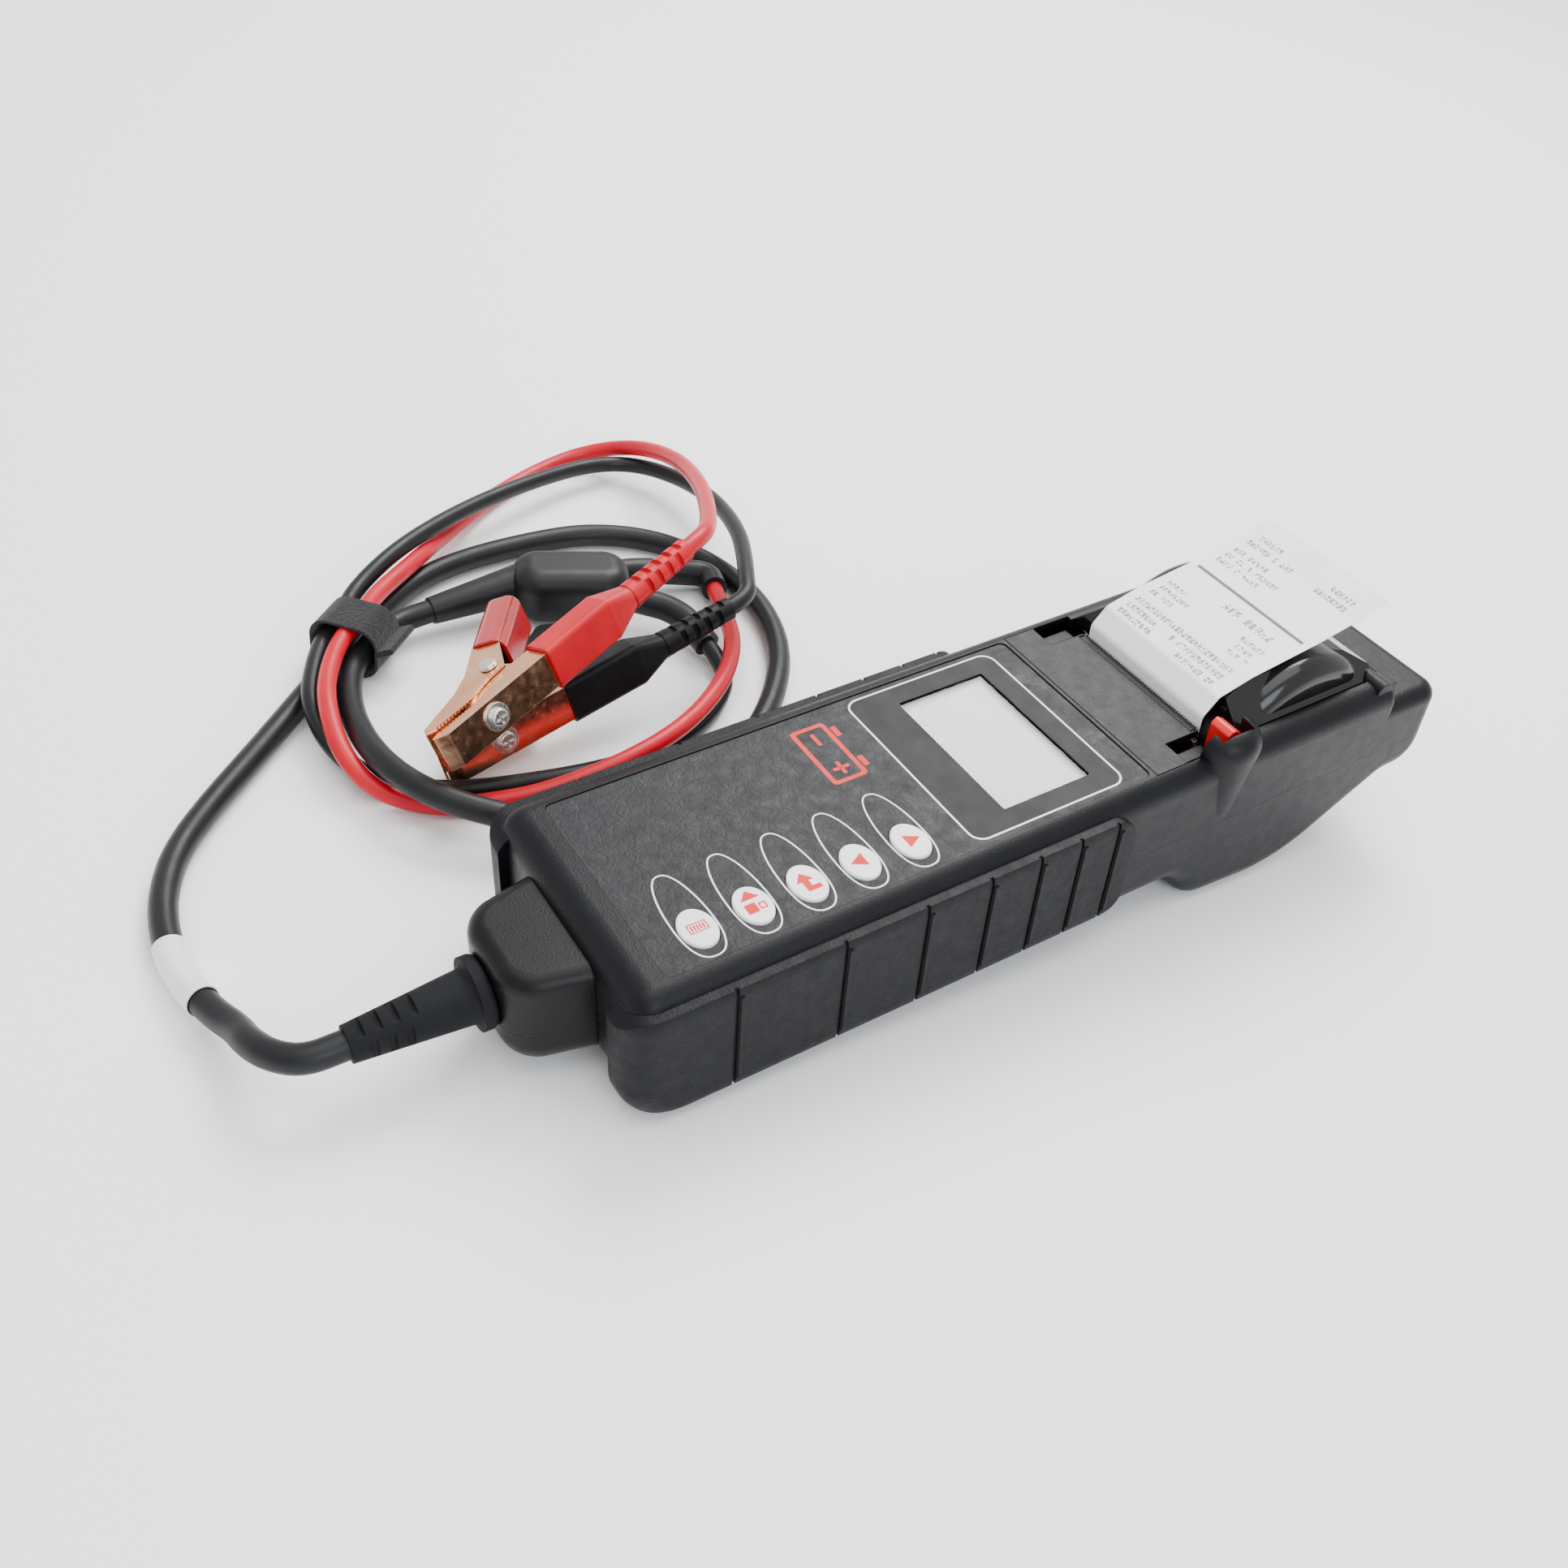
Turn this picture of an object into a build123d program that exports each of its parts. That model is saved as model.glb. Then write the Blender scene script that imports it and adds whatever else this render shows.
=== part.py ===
from build123d import *
import os
from math import cos, pi, radians, sin, tan

# Handheld battery tester with a built-in receipt printer and two Kelvin clamps, in millimetres.
#
# Two frames are used. The tester itself is drawn in its panel frame: +X to the right of the keys, +Y from
# the cable end to the printer, +Z out of the keypad, zero on the keypad's face at its cable end. It rests
# on the table on the bulge under the paper roll and on its lower end, so every tester piece is turned by
# LEAN about X and lifted, which brings it to the part's own frame: +Z up, zero on the table under the
# middle of the tester.
# The leads and the clamps are drawn in the part's own frame.

os.makedirs("parts", exist_ok=True)

# ---------------------------------------------------------------- driving dimensions
LEAN = 4.4  # degrees that the printer end is lifted

CASE_HALF_WIDTH = 47.0
CASE_LOW_END = -14.0
CASE_TOP_END = 310.0
CASE_FACE = 0.4
CASE_UNDERSIDE = -50.0
PARTING = -28.0
WALL = 2.4
END_RADIUS = 16.0  # rounding of the lower end's bottom edge, which touches the table
EDGE_RADIUS = 7.5  # long edges of the case

PANEL_WIDTH = 78.8
PANEL_LENGTH = 176.2
PANEL_THICKNESS = 0.6

KEY_X = 27.1
KEY_FIRST_Y = 16.5
KEY_PITCH = 18.5
KEY_LENGTH = 15.6
KEY_WIDTH = 11.6
KEY_NAMES = ["menu", "back", "enter", "down", "up"]

WINDOW_WIDTH = 58.4
WINDOW_LENGTH = 34.5
WINDOW_Y = 142.0

PAPER_WIDTH = 57.5
TEAR_Y = 205.0
BAY_HALF_WIDTH = 38.4
DOOR_HALF_WIDTH = 37.9
DOOR_FRONT_Y = 207.6
HINGE_Y = 279.0
HINGE_Z = -1.5
ROLL_Y = 246.0
ROLL_Z = -37.0
ROLL_RADIUS = 25.0
PLATEN_Y = 215.4
PLATEN_Z = -6.5
PLATEN_RADIUS = 5.0

MAIN_CABLE = 9.2  # diameters of the cable and the two leads
LEAD = 6.8

# Height of the table in the panel frame: a line LEAN degrees off the panel, touching the rounding of the
# lower end.
END_CENTRE_Y = CASE_LOW_END + END_RADIUS
END_CENTRE_Z = CASE_UNDERSIDE + END_RADIUS


def table_z(y):
    return END_CENTRE_Z - END_RADIUS / cos(radians(LEAN)) - (y - END_CENTRE_Y) * tan(radians(LEAN))


# The tester's own frame is dropped on the table, and moved along Y so that the origin is under its middle.
STAND_Y = -116.5
STAND_X = 0.0
STAND = Location((STAND_X, STAND_Y, -table_z(0) * cos(radians(LEAN))), (LEAN, 0, 0))


def write_tester_piece(piece, name):
    placed = STAND * piece
    placed.label = name
    export_step(placed, f"parts/{name}.step")


def write_piece(piece, name):
    piece.label = name
    export_step(piece, f"parts/{name}.step")


# ---------------------------------------------------------------- case volume
BULGE_FRONT_Y = 203.0
BULGE_REAR_Y = 246.0
RAIL_END_Y = HINGE_Y + 6.5  # the case steps down here, behind the printer door
END_BLOCK_Z = -8.0


def side_profile(grow):
    """Side outline of the case, Y along and Z up, grown outwards by grow."""
    corners = [
        (CASE_LOW_END, CASE_FACE, 9.0),
        (CASE_TOP_END, CASE_FACE, 8.0),
        (CASE_TOP_END, -43.5, 13.0),
        (292.0, -43.5, 12.0),
        (BULGE_REAR_Y, table_z(BULGE_REAR_Y), 60.0),
        (BULGE_FRONT_Y, table_z(BULGE_FRONT_Y), 12.0),
        (194.0, CASE_UNDERSIDE, 12.0),
        (CASE_LOW_END, CASE_UNDERSIDE, END_RADIUS),
    ]
    with BuildSketch(Plane.YZ) as outline:
        Polygon(*[(y, z) for y, z, radius in corners], align=None)
        for y, z, radius in corners:
            corner = outline.vertices().sort_by_distance((y, z, 0))[0]
            fillet(corner, radius)
        if grow:
            offset(amount=grow)
    return outline.sketch


def case_volume(grow):
    """Soft-edged block with the case's side outline; its edges keep one centre line as it grows."""
    half = CASE_HALF_WIDTH + grow
    with BuildPart() as block:
        extrude(side_profile(grow), amount=half, both=True)
        fillet(block.faces().filter_by(Axis.X).edges(), EDGE_RADIUS + grow)
    return block.part


def slab(y_low, y_high, z_low, z_high, half_width=80.0):
    with BuildPart() as block:
        with Locations((0, (y_low + y_high) / 2, (z_low + z_high) / 2)):
            Box(2 * half_width, y_high - y_low, z_high - z_low)
    return block.part


outer_volume = case_volume(0.0)
inner_volume = case_volume(-WALL)

# ---------------------------------------------------------------- case shells
SCREW_PLACES = [(side * 39.0, y) for side in (-1, 1) for y in (12.0, 96.0, 172.0)]
SCREW_PLACES += [(side * 32.0, 300.0) for side in (-1, 1)]
DOOR_KNUCKLES = [-27.5, 0.0, 27.5]
CASE_KNUCKLES = [-39.6, -13.75, 13.75, 39.6]
KNUCKLE_LENGTH = 13.0
KNUCKLE_RADIUS = 3.8
PIN_RADIUS = 1.5


def key_sketch(plane, growth):
    """Five ovals in a row, one for each key."""
    with BuildSketch(plane) as ovals:
        for index in range(len(KEY_NAMES)):
            with Locations((KEY_X, KEY_FIRST_Y + index * KEY_PITCH)):
                Ellipse(KEY_LENGTH / 2 + growth, KEY_WIDTH / 2 + growth)
    return ovals.sketch


def hinge_bars(places, length, radius):
    """Cylinders on the door's hinge axis."""
    with BuildPart() as bars:
        for x in places:
            with Locations(Location((x, HINGE_Y, HINGE_Z), (0, 90, 0))):
                Cylinder(radius, length)
    return bars.part


def stepped_volume(inset):
    """Case volume with the low rounded block behind the printer door."""
    with BuildPart() as block:
        add(case_volume(-inset))
        add(slab(RAIL_END_Y - inset, 340, END_BLOCK_Z - inset, 20), mode=Mode.SUBTRACT)
        if not inset:
            step = block.faces().filter_by(Axis.Z).sort_by(Axis.Z)[-2]
            fillet(step.edges().sort_by(Axis.Y)[1:], 5.5)
            rail_ends = block.faces().filter_by(Axis.Y).sort_by(Axis.Y)[-2]
            fillet(rail_ends.edges().filter_by(lambda edge: edge.center().Z > -6.0), 4.0)
    return block.part


with BuildPart() as pod:
    with Locations((38.4, 208.0, -9.5)):
        Cone(8.6, 13.4, 37.0)
    fillet(pod.faces().sort_by(Axis.Z)[-1].edges(), 7.0)

with BuildPart() as top_case:
    add(stepped_volume(0.0))
    add(pod.part)
    add(stepped_volume(WALL), mode=Mode.SUBTRACT)
    for side in (-1, 1):
        with Locations((side * (BAY_HALF_WIDTH + 0.8), (TEAR_Y + RAIL_END_Y) / 2, -14.0)):
            Box(1.6, RAIL_END_Y - TEAR_Y, 27.0)
    with Locations((0, RAIL_END_Y - 0.8, -14.0)):
        Box(2 * BAY_HALF_WIDTH + 3.2, 1.6, 27.0)
    for x, y in SCREW_PLACES:
        post_top = -2.0 if y < 200 else -10.0
        with Locations((x, y, (post_top - 28.0) / 2)):
            Cylinder(3.4, post_top + 28.0)
    # room for the printer door and the roll under it
    with Locations((0, (TEAR_Y + RAIL_END_Y) / 2 - 0.5, -10.0)):
        Box(2 * BAY_HALF_WIDTH, RAIL_END_Y - TEAR_Y - 1.6, 60.0, mode=Mode.SUBTRACT)
    # seat of the printer's cover plate, open at its two notches
    with Locations((0, (177.8 + TEAR_Y + 1.4) / 2, 5.0)):
        Box(81.4, TEAR_Y + 1.4 - 177.8, 26.0, mode=Mode.SUBTRACT)
    # pocket for the keypad overlay, the key holes and the stepped window
    with BuildSketch(Plane.XY.offset(-PANEL_THICKNESS)):
        with Locations((0, PANEL_LENGTH / 2)):
            RectangleRounded(PANEL_WIDTH + 0.4, PANEL_LENGTH + 0.4, 2.6)
    extrude(amount=5, mode=Mode.SUBTRACT)
    extrude(key_sketch(Plane.XY.offset(-5), 0.35), 8, mode=Mode.SUBTRACT)
    with Locations((0, WINDOW_Y, 0)):
        Box(WINDOW_WIDTH, WINDOW_LENGTH, 12.0, mode=Mode.SUBTRACT)
        Box(WINDOW_WIDTH + 5, WINDOW_LENGTH + 5, 3.4, mode=Mode.SUBTRACT)
    # slot for the release lever
    with Locations((36.0, 207.4, 0)):
        Box(17.0, 13.8, 31.0, mode=Mode.SUBTRACT)
    # hinge knuckles on the rear wall of the bay
    for x in CASE_KNUCKLES:
        with Locations((x, HINGE_Y + 3.0, HINGE_Z - 1.0)):
            Box(10.0 if abs(x) < 30 else 8.0, 6.0, 5.6)
    add(hinge_bars(CASE_KNUCKLES, 10.0, KNUCKLE_RADIUS))
    add(hinge_bars([0], 88.0, PIN_RADIUS), mode=Mode.SUBTRACT)
    for x, y in SCREW_PLACES:
        with Locations((x, y, -22.0)):
            Cylinder(1.25, 20.0, mode=Mode.SUBTRACT)
    add(slab(-60, 340, -90, PARTING), mode=Mode.SUBTRACT)

BATTERY_Y = (24.0, 134.0)
BATTERY_HALF_WIDTH = 28.0
BATTERY_MID_Y = sum(BATTERY_Y) / 2
BATTERY_LENGTH = BATTERY_Y[1] - BATTERY_Y[0]

with BuildPart() as bottom_case:
    add(outer_volume)
    add(inner_volume, mode=Mode.SUBTRACT)
    with Locations((0, BATTERY_MID_Y, -40.0)):
        Box(2 * BATTERY_HALF_WIDTH + 3.2, BATTERY_LENGTH + 3.2, 19.0)
    for x, y in SCREW_PLACES:
        floor_z = -49.0 if y < 200 else -42.0
        with Locations((x, y, (floor_z + PARTING) / 2)):
            Cylinder(3.4, PARTING - floor_z)
    add(slab(-60, 340, PARTING, 40), mode=Mode.SUBTRACT)
    with Locations((0, BATTERY_MID_Y, -42.0)):
        Box(2 * BATTERY_HALF_WIDTH, BATTERY_LENGTH, 20.0, mode=Mode.SUBTRACT)
    for x, y in SCREW_PLACES:
        with Locations((x, y, -40.0)):
            Cylinder(1.6, 40.0, mode=Mode.SUBTRACT)
        head_z = -46.0 if y < 200 else -39.5
        with Locations((x, y, head_z - 5.0)):
            Cylinder(3.0, 10.0, mode=Mode.SUBTRACT)

with BuildPart() as case_screws:
    for x, y in SCREW_PLACES:
        head_z = -46.0 if y < 200 else -39.5
        with Locations((x, y, head_z - 1.0)):
            Cylinder(2.8, 2.0)
        with Locations((x, y, head_z + 10.0)):
            Cylinder(1.25, 20.0)
        with Locations((x, y, head_z - 2.0)):
            Box(3.2, 0.8, 1.4, mode=Mode.SUBTRACT)
            Box(0.8, 3.2, 1.4, mode=Mode.SUBTRACT)

# ---------------------------------------------------------------- rubber grips on the long sides
GRIP_PROUD = 3.2
GRIP_RIBS = [16.6, 53.0, 82.0, 105.6, 124.4, 140.5, 155.4]
grip_volume = case_volume(GRIP_PROUD)
ridge_volume = case_volume(GRIP_PROUD + 0.6)
groove_volume = case_volume(GRIP_PROUD - 0.9)


def side_grip(side):
    """Rubber pad with grooves across it, each with a low ridge beside it."""
    with BuildPart() as grip:
        with BuildSketch(Plane.YZ.offset(side * 36.0)):
            with Locations((73.0, -24.6)):
                RectangleRounded(182.0, 42.0, 9.0)
        extrude(amount=side * 24.0)
        add(grip_volume, mode=Mode.INTERSECT)
        with BuildPart(mode=Mode.PRIVATE) as ridges:
            for y in GRIP_RIBS:
                with Locations((side * 48.0, y + 1.5, -24.6)):
                    Box(24.0, 1.3, 36.0)
            add(ridge_volume, mode=Mode.INTERSECT)
        add(ridges.part)
        add(outer_volume, mode=Mode.SUBTRACT)
        with BuildPart(mode=Mode.PRIVATE) as grooves:
            for y in GRIP_RIBS:
                with Locations((side * 48.0, y, -24.6)):
                    Box(24.0, 1.1, 50.0)
            add(groove_volume, mode=Mode.SUBTRACT)
        add(grooves.part, mode=Mode.SUBTRACT)
    return grip.part


grip_left = side_grip(-1)
grip_right = side_grip(1)

# ---------------------------------------------------------------- keypad, window and board
with BuildPart() as keypad_overlay:
    with BuildSketch(Plane.XY.offset(-PANEL_THICKNESS)):
        with Locations((0, PANEL_LENGTH / 2)):
            RectangleRounded(PANEL_WIDTH, PANEL_LENGTH, 2.4)
        with Locations((0, WINDOW_Y)):
            RectangleRounded(WINDOW_WIDTH, WINDOW_LENGTH, 0.8, mode=Mode.SUBTRACT)
    extrude(amount=PANEL_THICKNESS)
    extrude(key_sketch(Plane.XY.offset(-3), 0.3), 5, mode=Mode.SUBTRACT)

with BuildPart() as lcd_window:
    with Locations((0, WINDOW_Y, -1.15)):
        Box(WINDOW_WIDTH + 4.6, WINDOW_LENGTH + 4.6, 1.0)

with BuildPart() as lcd_module:
    with Locations((0, WINDOW_Y, -5.3)):
        Box(66.0, 42.0, 4.0)
    with Locations((0, WINDOW_Y, -3.1)):
        Box(62.0, 37.0, 0.5)

with BuildPart() as main_board:
    with BuildSketch(Plane.XY.offset(-9.2)):
        with Locations((0, 88.0)):
            RectangleRounded(70.0, 166.0, 2.0)
    extrude(amount=1.6)
    for x, y, width, length, height in [
        (-14.0, 40.0, 14.0, 14.0, 1.6),
        (-14.0, 64.0, 10.0, 18.0, 2.2),
        (-16.0, 90.0, 18.0, 7.0, 2.0),
        (-27.0, 20.0, 8.0, 10.0, 2.4),
    ]:
        with Locations((x, y, -7.6 + height / 2)):
            Box(width, length, height)

with BuildPart() as key_mat:
    with BuildSketch(Plane.XY.offset(-7.5)):
        with Locations((KEY_X, KEY_FIRST_Y + 2 * KEY_PITCH)):
            RectangleRounded(15.0, 4 * KEY_PITCH + 16.0, 3.0)
    extrude(amount=0.8)
    for index in range(len(KEY_NAMES)):
        with Locations((KEY_X, KEY_FIRST_Y + index * KEY_PITCH, -5.1)):
            Cone(4.6, 3.2, 3.4)

KEY_TOP = 0.9
keys = {}
for index, key_name in enumerate(KEY_NAMES):
    key_y = KEY_FIRST_Y + index * KEY_PITCH
    with BuildPart() as key:
        with BuildSketch(Plane.XY.offset(-2.6)):
            with Locations((KEY_X, key_y)):
                Ellipse(KEY_LENGTH / 2, KEY_WIDTH / 2)
        extrude(amount=KEY_TOP + 2.6)
        fillet(key.faces().sort_by(Axis.Z)[-1].edges(), 0.7)
    keys[key_name] = key.part

# ---------------------------------------------------------------- printer
with BuildPart() as printer_cover:
    with BuildSketch(Plane.XY.offset(-2.4)):
        with Locations((0, (178.0 + TEAR_Y) / 2)):
            Rectangle(81.0, TEAR_Y - 178.0)
        for side in (-1, 1):
            with Locations((side * 35.6, 198.2)):
                Rectangle(11.4, 15.4, mode=Mode.SUBTRACT)
    extrude(amount=2.4 + CASE_FACE)
    with Locations((0, TEAR_Y, 0)):
        Box(58.4, 5.2, 1.2, mode=Mode.SUBTRACT)

TOOTH_PITCH = 1.15
TOOTH_COUNT = 50

with BuildPart() as tear_blade:
    with BuildSketch(Plane.XY.offset(-0.55)):
        with BuildLine():
            edge = [(-TOOTH_COUNT * TOOTH_PITCH / 2, 202.6)]
            for index in range(TOOTH_COUNT):
                left = (index - TOOTH_COUNT / 2) * TOOTH_PITCH
                edge.append((left, TEAR_Y - 0.1))
                edge.append((left + TOOTH_PITCH / 2, TEAR_Y + 0.9))
            edge.append((TOOTH_COUNT * TOOTH_PITCH / 2, TEAR_Y - 0.1))
            edge.append((TOOTH_COUNT * TOOTH_PITCH / 2, 202.6))
            Polyline(*edge, close=True)
        make_face()
    extrude(amount=0.8)

with BuildPart() as printer_frame:
    for side in (-1, 1):
        with Locations((side * 35.4, 198.0, -9.5)):
            Box(4.6, 12.0, 13.0)
    with Locations((0, 193.0, -15.0)):
        Box(75.4, 2.0, 20.0)
    with Locations((0, 206.5, -25.0)):
        Box(75.4, 29.0, 2.0)
    with Locations((0, 203.0, -18.0)):
        Box(56.0, 2.0, 14.0)

with BuildPart() as print_head:
    with Locations((0, 205.2, -9.0)):
        Box(60.0, 2.0, 9.0)
    with Locations((0, 208.0, -7.2)):
        Box(54.0, 3.6, 3.0)

MOTOR_Z = PLATEN_Z - 11.35
GEAR_MODULE = 0.8
GEAR_X = -33.0
GEAR_WIDTH = 2.4


def gear(teeth, y, z, bore, turn):
    """Spur gear with straight-flanked teeth, on an axis along X."""
    tip = GEAR_MODULE * teeth / 2 + 0.75
    root = GEAR_MODULE * teeth / 2 - 0.95
    outline = []
    for index in range(teeth):
        for radius, share in [(root, -0.28), (tip, -0.1), (tip, 0.1), (root, 0.28)]:
            angle = radians(turn + (index + share) * 360 / teeth)
            outline.append((radius * cos(angle), radius * sin(angle)))
    with BuildPart() as wheel:
        with BuildSketch(Plane((GEAR_X - GEAR_WIDTH / 2, y, z), (0, 1, 0), (1, 0, 0))):
            with BuildLine():
                Polyline(*outline, close=True)
            make_face()
            Circle(bore, mode=Mode.SUBTRACT)
        extrude(amount=GEAR_WIDTH)
    return wheel.part


platen_gear = gear(16, PLATEN_Y, PLATEN_Z, 1.6, 180 / 16 + 90)
motor_gear = gear(12, PLATEN_Y, MOTOR_Z, 0.95, 90)

with BuildPart() as stepper_motor:
    with Locations(Location((-24.5, PLATEN_Y, MOTOR_Z), (0, 90, 0))):
        Cylinder(5.5, 12.0)
    with Locations(Location((-29.0, PLATEN_Y, MOTOR_Z), (0, 90, 0))):
        Cylinder(0.95, 13.0)

with BuildPart() as platen_roller:
    with Locations(Location((0, PLATEN_Y, PLATEN_Z), (0, 90, 0))):
        Cylinder(PLATEN_RADIUS, 57.6)
        Cylinder(1.6, 68.4)

with BuildPart() as paper_roll:
    with Locations(Location((0, ROLL_Y, ROLL_Z), (0, 90, 0))):
        Cylinder(ROLL_RADIUS, PAPER_WIDTH)
        Cylinder(6.0, PAPER_WIDTH + 2, mode=Mode.SUBTRACT)

# ---------------------------------------------------------------- printer door
DOOR_TOP = [(208.0, 4.4), (214.0, 9.4), (228.0, 12.9), (243.0, 14.6), (257.0, 13.4), (270.0, 10.0)]
DOOR_WALL = 2.2
DOOR_TAIL_Y = 282.4


def door_volume(inset, floor_z):
    """Arched cover with sloping sides and a bowed swelling over the paper roll."""
    with BuildPart() as cover:
        with BuildSketch(Plane.YZ) as profile:
            with BuildLine():
                Polyline((208.0, floor_z), *DOOR_TOP, (DOOR_TAIL_Y, 2.4), (DOOR_TAIL_Y, floor_z), close=True)
            make_face()
            fillet(profile.vertices().filter_by(lambda corner: corner.Y > 4), 4.0)
            offset(amount=-inset)
        extrude(amount=DOOR_HALF_WIDTH, both=True)
        with BuildSketch(Plane.XZ) as front:
            with BuildLine():
                Polyline(
                    (-DOOR_HALF_WIDTH, floor_z),
                    (-DOOR_HALF_WIDTH, 0.6),
                    (-27.0, 12.4),
                    (-14.0, 15.4),
                    (14.0, 15.4),
                    (27.0, 12.4),
                    (DOOR_HALF_WIDTH, 0.6),
                    (DOOR_HALF_WIDTH, floor_z),
                    close=True,
                )
            make_face()
            fillet(front.vertices().filter_by(lambda corner: corner.Y > 5), 7.0)
            offset(amount=-inset)
        extrude(amount=-400, mode=Mode.INTERSECT)
        with BuildPart(mode=Mode.PRIVATE) as swelling:
            with Locations(Location((0, 250.0, -21.0), (0, 90, 0))):
                Cylinder(35.5 - inset, 2 * (36.6 - inset))
            fillet(swelling.edges().filter_by(GeomType.CIRCLE), 7.0)
            add(slab(200, 300, floor_z + inset, 40), mode=Mode.INTERSECT)
        add(swelling.part)
    return cover.part


with BuildPart() as printer_door:
    add(door_volume(0.0, -1.2))
    add(door_volume(DOOR_WALL, -12.0), mode=Mode.SUBTRACT)
    # the rear edge follows a circle about the hinge, so it can turn down into the bay
    with BuildPart(mode=Mode.PRIVATE) as tail:
        with Locations((0, 290.0, 0)):
            Box(90, 22.0, 40)
        add(hinge_bars([0], 90.0, 4.4), mode=Mode.SUBTRACT)
    add(tail.part, mode=Mode.SUBTRACT)
    for x in CASE_KNUCKLES:
        with Locations(Location((x, HINGE_Y, HINGE_Z), (0, 90, 0))):
            Cylinder(5.0, 13.4 if abs(x) < 30 else 15.0, mode=Mode.SUBTRACT)
        with Locations((x, HINGE_Y + 5.0, HINGE_Z)):
            Box(13.4 if abs(x) < 30 else 15.0, 10.0, 10.0, mode=Mode.SUBTRACT)
    with Locations((34.0, 209.0, 2.0)):
        Box(13.0, 12.0, 40.0, mode=Mode.SUBTRACT)
    add(hinge_bars(DOOR_KNUCKLES, KNUCKLE_LENGTH, KNUCKLE_RADIUS))
    for x in DOOR_KNUCKLES:
        with Locations((x, HINGE_Y - 4.0, HINGE_Z + 2.9)):
            Box(KNUCKLE_LENGTH, 5.0, 4.0)
    # two arms that carry the platen roller
    for x in (-30.2, 30.2):
        with Locations((x, PLATEN_Y + 4.0, 0.0)):
            Box(2.0, 12.0, 14.0)
        with Locations(Location((x, PLATEN_Y, PLATEN_Z), (0, 90, 0))):
            Cylinder(3.2, 2.0)
    with Locations((34.0, 207.0, 6.0)):
        Box(13.0, 11.0, 14.0, mode=Mode.SUBTRACT)
    add(hinge_bars([0], 90.0, PIN_RADIUS + 0.08), mode=Mode.SUBTRACT)
    with Locations(Location((0, PLATEN_Y, PLATEN_Z), (0, 90, 0))):
        Cylinder(1.66, 90.0, mode=Mode.SUBTRACT)

with BuildPart() as hinge_pin:
    add(hinge_bars([0], 87.0, PIN_RADIUS))

LEVER_Y = 208.0
LEVER_Z = -12.0

with BuildPart() as release_lever:
    with BuildSketch(Plane.YZ.offset(33.6)) as blade_shape:
        with BuildLine():
            Polyline((205.4, -12.0), (205.4, 6.5), (207.4, 8.4), (211.2, 6.0), (211.2, -12.0), close=True)
        make_face()
        fillet(blade_shape.vertices().filter_by(lambda corner: corner.Y > 0), 1.4)
    extrude(amount=8.6)
    with Locations(Location((37.9, LEVER_Y, LEVER_Z), (0, 90, 0))):
        Cylinder(3.0, 8.6)
        Cylinder(1.55, 10.0, mode=Mode.SUBTRACT)

with BuildPart() as lever_pin:
    with Locations(Location((37.6, LEVER_Y, LEVER_Z), (0, 90, 0))):
        Cylinder(1.5, 13.4)

# ---------------------------------------------------------------- receipt
RECEIPT_PATH = [
    (206.9, -2.0),
    (206.9, 4.4),
    (212.4, 10.6),
    (226.0, 14.0),
    (240.0, 15.8),
    (256.0, 17.8),
    (272.0, 20.8),
    (286.0, 25.0),
]

with BuildPart() as receipt:
    with BuildSketch(Plane.YZ):
        with BuildLine():
            FilletPolyline(*RECEIPT_PATH, radius=3.0)
            offset(amount=0.14, side=Side.BOTH)
        make_face()
    extrude(amount=PAPER_WIDTH / 2, both=True)

# ---------------------------------------------------------------- batteries
CELL_RADIUS = 7.2
CELL_LENGTH = 50.0
CELL_Z = -40.4

with BuildPart() as battery_door:
    with Locations((0, BATTERY_MID_Y, -49.0)):
        Box(2 * BATTERY_HALF_WIDTH - 0.6, BATTERY_LENGTH - 0.6, 2.0)
    fillet(battery_door.edges().filter_by(Axis.Z), 2.0)

with BuildPart() as aa_cells:
    for x in (-15.2, 0.0, 15.2):
        for y in (BATTERY_MID_Y - 26.6, BATTERY_MID_Y + 26.6):
            with Locations(Location((x, y, CELL_Z), (90, 0, 0))):
                Cylinder(CELL_RADIUS, CELL_LENGTH - 1.2)
                Cylinder(2.6, CELL_LENGTH)

with BuildPart() as battery_contacts:
    for x in (-15.2, 0.0, 15.2):
        for side in (-1, 1):
            with Locations((x, BATTERY_MID_Y + side * 54.4, CELL_Z)):
                Box(10.0, 0.6, 10.0)
            with Locations(Location((x, BATTERY_MID_Y + side * 53.0, CELL_Z), (90, 0, 0))):
                Cylinder(2.2, 2.4)

# ---------------------------------------------------------------- cable hood at the lower end
HOOD_FRONT_Y = -38.5
CABLE_Z = -22.5


def hood_volume(inset):
    with BuildPart() as block:
        with BuildSketch(Plane.XY.offset(-44.0 + inset)) as plan:
            with BuildLine():
                Polyline((-24.0, 0.0), (-24.0, -12.0), (-18.0, HOOD_FRONT_Y), (18.0, HOOD_FRONT_Y),
                         (24.0, -12.0), (24.0, 0.0), close=True)
            make_face()
            fillet(plan.vertices().filter_by(lambda corner: corner.Y < -30), 13.0)
            fillet(plan.vertices().filter_by(lambda corner: -14 < corner.Y < -10), 20.0)
            offset(amount=-inset)
        extrude(amount=38.0 - 2 * inset)
        low = block.faces().sort_by(Axis.Z)[0].edges().filter_by(lambda edge: edge.center().Y < -1 - inset)
        fillet(low, 11.0 - inset)
        high = block.faces().sort_by(Axis.Z)[-1].edges().filter_by(lambda edge: edge.center().Y < -1 - inset)
        fillet(high, 5.5 - inset)
    return block.part


with BuildPart() as hood:
    add(hood_volume(0.0))
    add(hood_volume(2.2), mode=Mode.SUBTRACT)
    add(outer_volume, mode=Mode.SUBTRACT)
    with Locations(Location((0, HOOD_FRONT_Y, CABLE_Z), (90, 0, 0))):
        Cylinder(7.1, 12.0, mode=Mode.SUBTRACT)

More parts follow.
